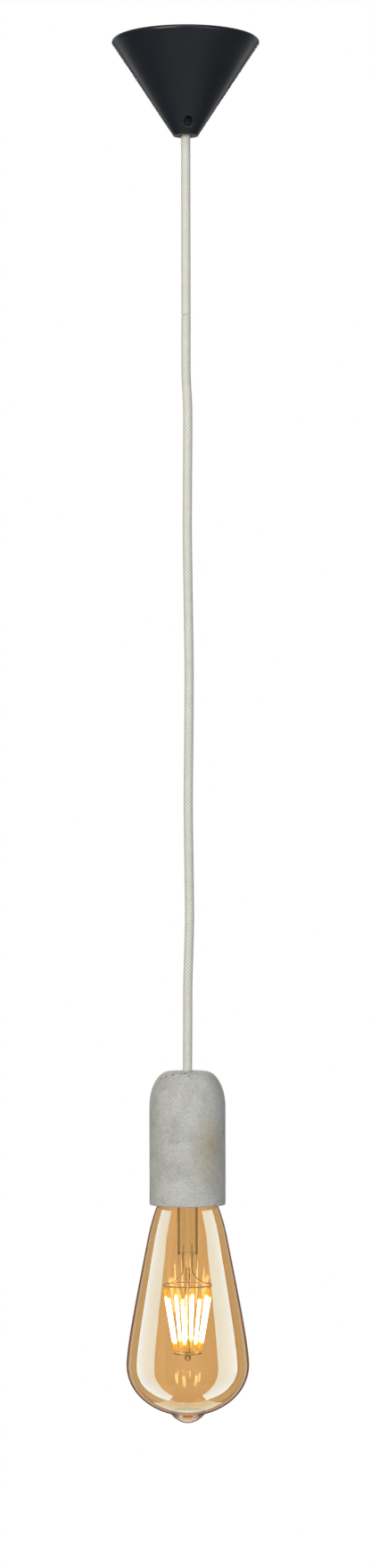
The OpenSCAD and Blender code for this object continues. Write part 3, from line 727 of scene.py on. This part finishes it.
shoulder = [(COVER_FLAT_R + (COVER_R - COVER_FLAT_R) * math.cos(a),
             COVER_H - SHOULDER_H + SHOULDER_H * math.sin(a))
            for a in np.linspace(0, math.pi / 2, 60)]
cast_side = spaced([(COVER_R - 0.55 * MM, 0), (COVER_R - 0.15 * MM, 0.16 * MM),
                    (COVER_R, 0.7 * MM), *shoulder,
                    (CORD_HOLE_R + 0.45 * MM, COVER_H)], SKIN_STEP)
inner_side = [(CORD_HOLE_R + 0.1 * MM, COVER_H - 0.2 * MM), (CORD_HOLE_R, COVER_H - 0.7 * MM),
              (CORD_HOLE_R, CHAMBER_TOP), (CHAMBER_R, CHAMBER_TOP),
              (CHAMBER_R, COVER_LEDGE), (COVER_BORE_R, COVER_LEDGE), (COVER_BORE_R, 0)]
cover_section = [(r, h, 0) for r, h in [*cast_side, *inner_side]]
cover = turned("cast_cover", cover_section, ROUND_COVER)

random = np.random.default_rng(SKIN_SEED)
points = np.zeros(len(cover.data.vertices) * 3)
cover.data.vertices.foreach_get("co", points)
points = points.reshape(-1, 3)
skin = len(cast_side) * ROUND_COVER
outside = points[:skin]
level_up = outside[:, 2] - COVER_Z
angle = np.arctan2(outside[:, 1], outside[:, 0])
radial = np.stack([np.cos(angle), np.sin(angle), np.zeros(len(angle))], 1)
on_shoulder = np.clip((level_up - (COVER_H - SHOULDER_H)) / SHOULDER_H, 0, 1)
upward = on_shoulder[:, None] ** 2
outward = radial * (1 - upward) + np.array([0, 0, 1.0]) * upward
outward /= np.linalg.norm(outward, axis=1)[:, None]
sunk = np.zeros(len(outside))
for waves, height in WAVES:
    phase = random.uniform(0, 6.28, 3)
    sunk += height * MM * (1 + np.sin(waves * angle + phase[0] + WAVE_TWIST * level_up)
                           * np.sin(waves * WAVE_RISE * level_up + phase[1])) / 2


def pit(turn_degrees, height_mm, across_mm, deep_mm):
    """Sinks one pit into the cover's skin, at degrees right of the front."""
    a = math.radians(turn_degrees - 90)
    r = COVER_R
    if height_mm * MM > COVER_H - SHOULDER_H:
        up = (height_mm * MM - COVER_H + SHOULDER_H) / SHOULDER_H
        r = COVER_FLAT_R + (COVER_R - COVER_FLAT_R) * math.sqrt(max(0.0, 1 - up * up))
    at = np.array([r * math.cos(a), r * math.sin(a), COVER_Z + height_mm * MM])
    near = np.linalg.norm(outside - at, axis=1) / (across_mm * MM / 2)
    np.maximum(sunk, deep_mm * MM * np.clip(1 - near ** 2, 0, 1) ** PIT_STEEP, out=sunk)


for placed in PLACED_PITS:
    pit(*placed)
for _ in range(SMALL_PITS):
    pit(random.uniform(-180, 180), random.uniform(1, 68.5), random.uniform(0.3, 0.7),
        random.uniform(0.05, 0.22))
points[:skin] = outside - outward * sunk[:, None]
cover.data.vertices.foreach_set("co", points.ravel())
cover.data.update()
# The pits' depth below the waves is kept for painted shade: the concrete's colour darkens in
# the deeper pits.
pit_shade = np.zeros(len(points))
pit_shade[:skin] = np.clip((sunk - WAVES_DEEP) / PIT_FULL_SHADE, 0, 1)
cover.data.attributes.new("pit_shade", "FLOAT", "POINT").data.foreach_set("value", pit_shade)

# Cast concrete, pale grey: a dry cement skin with sand showing through, cloudy, with small
# pores and deeper pits darkened by painted shade, and one faint warm stain low on the right
# where water has stood.
cast_concrete, tree, shader = finish_named("cast_concrete", IOR=1.5)
spot = add(tree, "TexCoord")
clouds = add(tree, "TexNoise", {"Vector": spot.outputs["Object"], "Scale": 1 / (11 * MM),
                                "Detail": 6.0, "Roughness": 0.62})
sand = add(tree, "TexNoise", {"Vector": spot.outputs["Object"], "Scale": 1 / (0.9 * MM),
                              "Detail": 4.0, "Roughness": 0.7})
pores = add(tree, "TexVoronoi", {"Vector": spot.outputs["Object"], "Scale": 1 / (1.9 * MM),
                                 "Randomness": 1.0})
damp = add(tree, "TexNoise", {"Vector": spot.outputs["Object"], "Scale": 1 / (3 * MM),
                              "Detail": 4.0})
cloud_share = add(tree, "MapRange", {"Value": clouds.outputs["Fac"], "From Min": 0.36,
                                     "From Max": 0.62})
tone = add(tree, "Mix", {0: cloud_share.outputs["Result"], 6: linear("a7a7a2"),
                         7: linear("c6c6c1")}, data_type="RGBA")
sand_share = add(tree, "MapRange", {"Value": sand.outputs["Fac"], "From Min": 0.3,
                                    "From Max": 0.7})
sanded = add(tree, "Mix", {0: sand_share.outputs["Result"], 6: linear("7b7b75"),
                           7: linear("d3d3cd")}, data_type="RGBA")
mixed = add(tree, "Mix", {0: 0.45, 6: tone.outputs[2], 7: sanded.outputs[2]},
            data_type="RGBA")

# The stain's middle is 38 degrees right of the front, and it is twice as tall as wide.
WARM_SIDE = math.radians(38 - 90)
WARM_HEIGHT = 30 * MM
WARM_REACH = 12 * MM
WARM_CORE = 2 * MM
warm_place = add(tree, "VectorMath", {
    0: spot.outputs["Object"],
    1: (COVER_R * math.cos(WARM_SIDE), COVER_R * math.sin(WARM_SIDE),
        COVER_Z + WARM_HEIGHT)}, operation="SUBTRACT")
warm_shape = add(tree, "VectorMath", {0: warm_place.outputs[0], 1: (1, 1, 0.5)},
                 operation="MULTIPLY")
warm_reach = add(tree, "VectorMath", {0: warm_shape.outputs[0]}, operation="LENGTH")
warm_near = add(tree, "MapRange", {"Value": warm_reach.outputs["Value"],
                                   "From Min": WARM_REACH, "From Max": WARM_CORE})
warm_share = add(tree, "Math", {0: warm_near.outputs["Result"], 1: damp.outputs["Fac"]},
                 operation="MULTIPLY")
stained = add(tree, "Mix", {0: warm_share.outputs[0], 6: mixed.outputs[2],
                            7: linear("a5976f")}, data_type="RGBA")
# Painted shade in the pores: the colour darkens towards each pore's middle, where the bump
# also sinks it.
pore_share = add(tree, "MapRange", {"Value": pores.outputs["Distance"], "From Min": 0.04,
                                    "From Max": 0.17})
pore_shaded = add(tree, "Mix", {0: pore_share.outputs["Result"], 6: linear("93928c"),
                          7: stained.outputs[2]}, data_type="RGBA")
# Painted shade in the pits: the colour darkens towards a dark grey with the pit's depth.
depth = add(tree, "Attribute", attribute_name="pit_shade")
pit_shaded = add(tree, "Mix", {0: depth.outputs["Fac"], 6: pore_shaded.outputs[2],
                           7: linear("3f3e3a")}, data_type="RGBA")
dryness = add(tree, "MapRange", {"Value": sand.outputs["Fac"], "To Min": 0.82,
                                 "To Max": 0.96})
relief = add(tree, "Math", {0: sand.outputs["Fac"], 1: pore_share.outputs["Result"]})
ridges = add(tree, "Bump", {"Height": relief.outputs[0], "Strength": 0.4,
                            "Distance": 0.12 * MM})
feed(tree, shader, {"Base Color": pit_shaded.outputs[2], "Roughness": dryness.outputs["Result"],
                    "Normal": ridges.outputs["Normal"]})
fit(cover, cast_concrete, "cover", "concrete_cover")

# ---- Bulb cap, insulator, contact and driver board ----
# The E27 cap is rolled from nickel-plated brass. Black glass insulates its centre contact,
# and a small driver board for the filaments stands inside it.

CAP_LOW = 8.4 * MM
CAP_HIGH = 25.4 * MM
CAP_RUN_OUT = 0.6 * MM

# Rolled nickel plate: a warm bright metal, streaked round by the rolling.
STREAKS = 12
nickel_plate, tree, shader = finish_named("rolled_nickel_plate", Metallic=1.0)
spot = add(tree, "TexCoord")
stretch = add(tree, "Mapping", {"Vector": spot.outputs["Object"], "Scale": (1, 1, STREAKS)})
streak = add(tree, "TexNoise", {"Vector": stretch.outputs[0], "Scale": 1 / (4 * MM),
                                "Detail": 4.0})
tone = add(tree, "Mix", {0: streak.outputs["Fac"], 6: linear("b4b0a8"), 7: linear("dad7cf")},
           data_type="RGBA")
gloss = add(tree, "MapRange", {"Value": streak.outputs["Fac"], "To Min": 0.16,
                               "To Max": 0.34})
feed(tree, shader, {"Base Color": tone.outputs[2], "Roughness": gloss.outputs["Result"]})

# Pressed black glass, in which the contact is sealed: dark and glossy, with a faint swirl.
pressed_black_glass, tree, shader = finish_named("pressed_black_glass", IOR=1.55)
spot = add(tree, "TexCoord")
swirl = add(tree, "TexNoise", {"Vector": spot.outputs["Object"], "Scale": 1 / (3 * MM),
                               "Distortion": 1.2})
tone = add(tree, "Mix", {0: swirl.outputs["Fac"], 6: linear("121214"), 7: linear("26242c")},
           data_type="RGBA")
gloss = add(tree, "MapRange", {"Value": swirl.outputs["Fac"], "To Min": 0.08,
                               "To Max": 0.2})
feed(tree, shader, {"Base Color": tone.outputs[2], "Roughness": gloss.outputs["Result"]})

# Printed board of glass fibre and green lacquer, with darker tracks under the lacquer.
lacquered_board, tree, shader = finish_named("lacquered_fibre_board", IOR=1.55,
                                             Roughness=0.35)
spot = add(tree, "TexCoord")
tracks = add(tree, "TexBrick", {
    "Vector": spot.outputs["Object"], "Color1": linear("1f5a3a"), "Color2": linear("266b45"),
    "Mortar": linear("134028"), "Scale": 1 / (4 * MM), "Mortar Size": 0.06})
feed(tree, shader, {"Base Color": tracks.outputs["Color"]})

cap_section = [(r * MM, h * MM, 0) for r, h in (
    (11.5, 24.9), (11.5, 8.4), (12.95, 6.8), (12.95, 5.6), (13.3, 5.6), (13.35, 7.6))]
cap_section += threaded_side(CAP_LOW, CAP_HIGH, CAP_MINOR, CAP_LOW, CAP_HIGH - CAP_RUN_OUT)
cap_section += [(r * MM, h * MM, 0) for r, h in (
    (11.6, 25.9), (9.4, 26.1), (9.4, 25.6), (11.3, 25.4))]
fit(turned("rolled_cap", cap_section, ROUND_SHELL, thread=True), nickel_plate, "bulb",
    "bulb_cap")
keep("bulb_insulator", pressed_black_glass)
keep("bulb_contact", nickel_plate)
keep("driver_board", lacquered_board)

# ---- Bulb glass ----
# Blown soda-lime glass in an ST64 shape, with a thin gold tint all through the wall in this
# model. Its pole has the sealed nub where the air was drawn off.

# Sizes in millimetres, with depths below the cover's foot.
GLASS_WALL = 0.7
BELLY_R = 32.1
BELLY_DEPTH = 84
BOWL_DEPTH = 26.2
NUB_DEPTH = 114.2
NUB_INSIDE = 113.3
POLE_R = 0.02
BOWL_STEPS = 40
ROUND_GLASS = 160


def bezier(a, b, c, d, steps):
    """Points of a cubic curve from a to d, without d."""
    made = []
    for i in range(steps):
        t = i / steps
        s = 1 - t
        made.append(tuple(s ** 3 * a[k] + 3 * s * s * t * b[k] + 3 * s * t * t * c[k]
                          + t ** 3 * d[k] for k in (0, 1)))
    return made


def moved_in(line, wall):
    """A section's line moved inwards by a wall, square to itself."""
    p = np.array(line, float)
    ahead = np.gradient(p, axis=0)
    ahead /= np.linalg.norm(ahead, axis=1)[:, None]
    inward = np.stack([ahead[:, 1], -ahead[:, 0]], 1)
    return [tuple(q) for q in p + inward * wall]


def bowl(radius, depth, low, high, steps):
    """Points of the bulb's lower bowl between two angles in degrees."""
    return [(radius * math.cos(math.radians(a)),
             -BELLY_DEPTH + depth * math.sin(math.radians(a)))
            for a in np.linspace(low, high, steps)]


glass_side = bezier((13.3, 5), (16.8, -1), (19.4, -10), (20.9, -17.8), 24)
glass_side += bezier((20.9, -17.8), (26.8, -47.8), (BELLY_R, 10 - BELLY_DEPTH),
                     (BELLY_R, -BELLY_DEPTH), 48)
outer_line = [(11, 11), (11, 8.8), (12.3, 7.3), (12.5, 5.4), *glass_side,
              *bowl(BELLY_R, BOWL_DEPTH, 0, -71.8, BOWL_STEPS)]
outer_line += bezier((9.2, -108.85), (7.5, -111.9), (3.2, -NUB_DEPTH),
                     (POLE_R, -NUB_DEPTH), 20)
outer_line.append((POLE_R, -NUB_DEPTH))
inner_line = [(10.3, 11), (10.3, 8.4), (11.7, 6.6), *moved_in(glass_side, GLASS_WALL),
              *bowl(BELLY_R - GLASS_WALL, BOWL_DEPTH - GLASS_WALL, 0, -74, BOWL_STEPS)]
inner_line += bezier((7.6, -109.0), (6.0, -111.6), (2.6, -NUB_INSIDE),
                     (POLE_R, -NUB_INSIDE), 16)
inner_line.append((POLE_R, -NUB_INSIDE))
glass_section = [(r * MM, h * MM, 0) for r, h in [*outer_line[::-1], *inner_line]]
bulb_glass = turned("blown_bulb", glass_section, ROUND_GLASS)


def lets_lamps_through(tree, shader):
    """Lets lamps shine through a glass, because refraction would otherwise shade what is
    inside it."""
    path = add(tree, "LightPath")
    clear = add(tree, "BsdfTransparent")
    both = add(tree, "MixShader", {0: path.outputs["Is Shadow Ray"],
                                   1: shader.outputs[0], 2: clear.outputs[0]})
    feed(tree, tree.nodes["Material Output"], {"Surface": both.outputs[0]})


# Blown gold-tinted glass. The tint takes blue and green out of what is seen through it, most
# of all at the rim, where the line of sight runs long inside the wall.
TINT_PER_METRE = 1390.0
amber_glass, tree, shader = finish_named(
    "gold_tinted_glass", Base_Color=linear("ffffff"), Transmission_Weight=1.0,
    Roughness=0.0, IOR=1.5, Specular_Tint=linear("e7ffe0"))
lets_lamps_through(tree, shader)
tint = add(tree, "VolumeAbsorption", {"Color": linear("eac000"),
                                      "Density": TINT_PER_METRE})
feed(tree, tree.nodes["Material Output"], {"Volume": tint.outputs[0]})
fit(bulb_glass, amber_glass, "bulb", "bulb_glass")
glassware.objects.link(bulb_glass)
all_but_glass.objects.link(bulb_glass)
all_but_glass.collection_objects[0].light_linking.link_state = "EXCLUDE"

# ---- Stem, post, lead wires, rings and hub ----
# A clear glass stem is flared at the cap and pressed flat round two nickel wires. A glass
# post carries the cage: two half rings above, a wheel-shaped hub below.

# The cover's foot in millimetres, from which the routes below are measured.
COVER_LOW = COVER_Z / MM
LEAD_ROUTE = [
    (2.2, 0, -21), (2.4, 0, -27), (2.4, 0, -33.2), (3, 0, -36.2), (5.4, 0, -39.2),
    (9, 0, -41.3), (12.4, 0, -42.2),
]
LEAD_STEPS = 8
WIRE_R = 0.35 * MM
ROUND_WIRE = 16

# Drawn clear glass: smooth and without colour, seen by its bright and dark edges.
clear_glass, tree, shader = finish_named(
    "drawn_clear_glass", Base_Color=linear("fbfdfb"), Transmission_Weight=1.0,
    Roughness=0.0, IOR=1.5)
lets_lamps_through(tree, shader)
keep("glass_stem", clear_glass)
keep("stem_post", clear_glass)

# Drawn nickel wire: a warm grey metal, with a slight oxide from the sealing flame.
nickel_wire, tree, shader = finish_named("drawn_nickel_wire", Metallic=1.0)
spot = add(tree, "TexCoord")
oxide = add(tree, "TexNoise", {"Vector": spot.outputs["Object"], "Scale": 1 / (3 * MM),
                               "Detail": 3.0})
tone = add(tree, "Mix", {0: oxide.outputs["Fac"], 6: linear("b7a98f"), 7: linear("e6dfd0")},
           data_type="RGBA")
gloss = add(tree, "MapRange", {"Value": oxide.outputs["Fac"], "To Min": 0.25,
                               "To Max": 0.45})
feed(tree, shader, {"Base Color": tone.outputs[2], "Roughness": gloss.outputs["Result"]})
for number, sign in ((1, 1), (2, -1)):
    route = [(sign * x, sign * y, z + COVER_LOW) for x, y, z in LEAD_ROUTE]
    fit(wire("sealed_lead_%d" % number, through(route, LEAD_STEPS), WIRE_R, ROUND_WIRE),
        nickel_wire, "bulb", "lead_wire_%d" % number)
    keep("top_ring_%d" % number, nickel_wire)
keep("bottom_hub", nickel_wire)

# ---- LED filaments ----
# Eight coated strips lean inwards from the rings to the hub. Each is a row of chips on
# glass in yellow phosphor silicone, between two welded steel pins, and is lit.

FILAMENTS = 8
FIRST_TURN = math.radians(-103)
STRIP_TOP = np.array([12.4, -44.4])
STRIP_FOOT = np.array([6.9, -76.0])
STRIP_R = 0.8
STRIP_STEPS = 40
STRIP_SHOULDER = 0.35
PIN_R = 0.3
PIN_TIP_R = 0.7 * PIN_R
PIN_OUT = 1.8
PIN_IN = 1.2
UNLIT_END = 3.6
GLOW_EDGE = 1.6
STRIP_GLOW = 12.0
UNLIT_GLOW = 0.45
ROUND_STRIP = 24

# Phosphor silicone over lit chips: near white along the strip, and a dull deep yellow at
# its unlit ends.
lit_phosphor, tree, shader = finish_named(
    "lit_phosphor_silicone", Base_Color=linear("cfa54a"), Roughness=0.45, IOR=1.41)
lit = add(tree, "Attribute", attribute_name="lit")
tone = add(tree, "Mix", {0: lit.outputs["Fac"], 6: linear("ffd75c"), 7: linear("fff4e8")},
           data_type="RGBA")
power = add(tree, "MapRange", {"Value": lit.outputs["Fac"], "To Min": UNLIT_GLOW,
                               "To Max": STRIP_GLOW})
feed(tree, shader, {"Emission Color": tone.outputs[2],
                    "Emission Strength": power.outputs["Result"]})

slope = STRIP_FOOT - STRIP_TOP
strip_long = float(np.linalg.norm(slope))
strip_profile = [(-PIN_OUT, PIN_TIP_R), (-PIN_OUT + 0.1, PIN_R), (-0.02, PIN_R),
                 (0.0, STRIP_R - 0.3), (0.1, STRIP_R - 0.08), (STRIP_SHOULDER, STRIP_R)]
strip_profile += [(STRIP_SHOULDER + (strip_long - 2 * STRIP_SHOULDER) * i / STRIP_STEPS,
                   STRIP_R) for i in range(1, STRIP_STEPS + 1)]
strip_profile += [(strip_long - 0.1, STRIP_R - 0.08), (strip_long, STRIP_R - 0.3),
                  (strip_long + 0.02, PIN_R), (strip_long + PIN_IN - 0.1, PIN_R),
                  (strip_long + PIN_IN, PIN_TIP_R)]
for number in range(1, FILAMENTS + 1):
    turn = FIRST_TURN + 2 * math.pi * (number - 1) / FILAMENTS
    outwards = np.array([math.cos(turn), math.sin(turn), 0.0])
    start = STRIP_TOP[0] * outwards + np.array([0, 0, STRIP_TOP[1] + COVER_LOW])
    down = (slope[0] * outwards + np.array([0, 0, slope[1]])) / strip_long
    line = np.array([start + at * down for at, _ in strip_profile]) * MM
    strip = wire("led_filament_%d" % number, line, [r * MM for _, r in strip_profile],
                 ROUND_STRIP)
    glow = [min(1.0, max(0.0, (min(at, strip_long - at) - UNLIT_END) / GLOW_EDGE))
            for at, _ in strip_profile for _ in range(ROUND_STRIP)]
    strip.data.attributes.new("lit", "FLOAT", "POINT").data.foreach_set("value", glow)
    fit(strip, lit_phosphor, "bulb", "filament_%d" % number)

bpy.context.view_layer.update()
